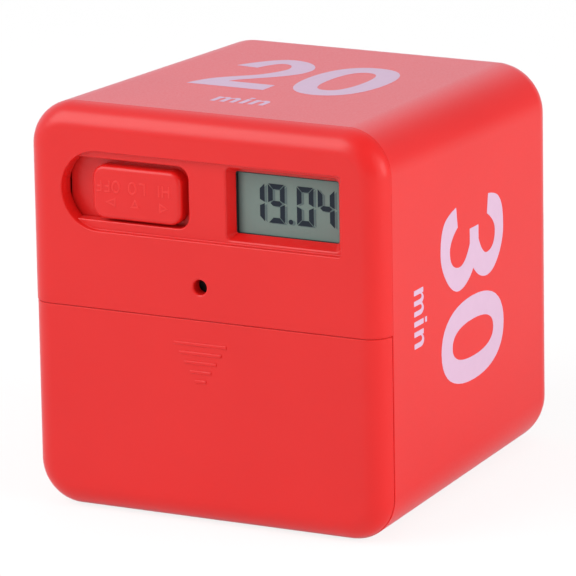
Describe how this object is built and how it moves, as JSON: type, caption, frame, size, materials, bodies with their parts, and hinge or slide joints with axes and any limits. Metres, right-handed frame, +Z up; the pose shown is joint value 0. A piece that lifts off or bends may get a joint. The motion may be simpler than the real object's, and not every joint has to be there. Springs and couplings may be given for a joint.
{
  "type": "kitchen timer",
  "caption": "Cube-shaped visual kitchen timer with a recessed display, a slide switch and a sliding battery door; it counts the minutes printed on whichever side faces up.",
  "frame": {"origin": "centre of the footprint's bounding box, on the surface the timer stands on", "axes": "+X to the right across the display face, +Y from the display face to the back, +Z up; the sides draw in towards the back, so the display face leans back by 1.3 degrees"},
  "size_m": [0.061, 0.0648, 0.064],
  "materials": {
    "red_plastic": "satin moulded",
    "black_plastic": "satin",
    "display_glass": "grey-green liquid crystal",
    "contact_rubber": "matte",
    "circuit_board": "solder mask",
    "epoxy": "glossy",
    "phenolic": "matte",
    "steel": "nickel plated",
    "brass": "plain",
    "capacitor_can": "sleeved",
    "cell_jacket": "plain film jacket",
    "red_insulation": "smooth",
    "black_insulation": "smooth"
  },
  "bodies": {
    "body": {"main_shell": "red_plastic", "front_cover": "red_plastic", "switch_frame": "steel", "switch_base": "phenolic", "lcd_panel": "display_glass", "lcd_holder": "black_plastic", "zebra_strip": "contact_rubber", "main_pcb": "circuit_board", "buzzer": "black_plastic", "chip_blob": "epoxy", "crystal_can": "steel", "capacitor": "capacitor_can", "tilt_can_left": "brass", "tilt_can_right": "brass", "tilt_plug_left": "black_plastic", "tilt_plug_right": "black_plastic", "battery_upper": "cell_jacket", "battery_lower": "cell_jacket", "bridge_contact": "steel", "positive_contact": "steel", "negative_contact": "steel", "bridge_spring": "steel", "negative_spring": "steel", "red_wire": "red_insulation", "black_wire": "black_insulation", "cover_screw_left": "steel", "cover_screw_right": "steel", "board_screw_left": "steel", "board_screw_right": "steel", "board_screw_top": "steel"},
    "door": {"battery_door": "red_plastic"},
    "switch": {"switch_knob": "red_plastic", "switch_slider": "black_plastic"},
    "left_ball": {"tilt_ball_left": "steel"},
    "right_ball": {"tilt_ball_right": "steel"}
  },
  "joints": [
    {"name": "door_slide", "type": "slide", "parent": "body", "child": "door", "axis": [0, -0.0234, -0.9997], "range_m": [0, 0.03]},
    {"name": "switch_slide", "type": "slide", "parent": "body", "child": "switch", "axis": [-1, 0, 0], "range_m": [0, 0.004]},
    {"name": "left_ball_roll", "type": "slide", "parent": "body", "child": "left_ball", "axis": [-0.7071, 0.0166, 0.7069], "range_m": [0, 0.004]},
    {"name": "right_ball_roll", "type": "slide", "parent": "body", "child": "right_ball", "axis": [0.7071, 0.0166, 0.7069], "range_m": [0, 0.004]}
  ]
}
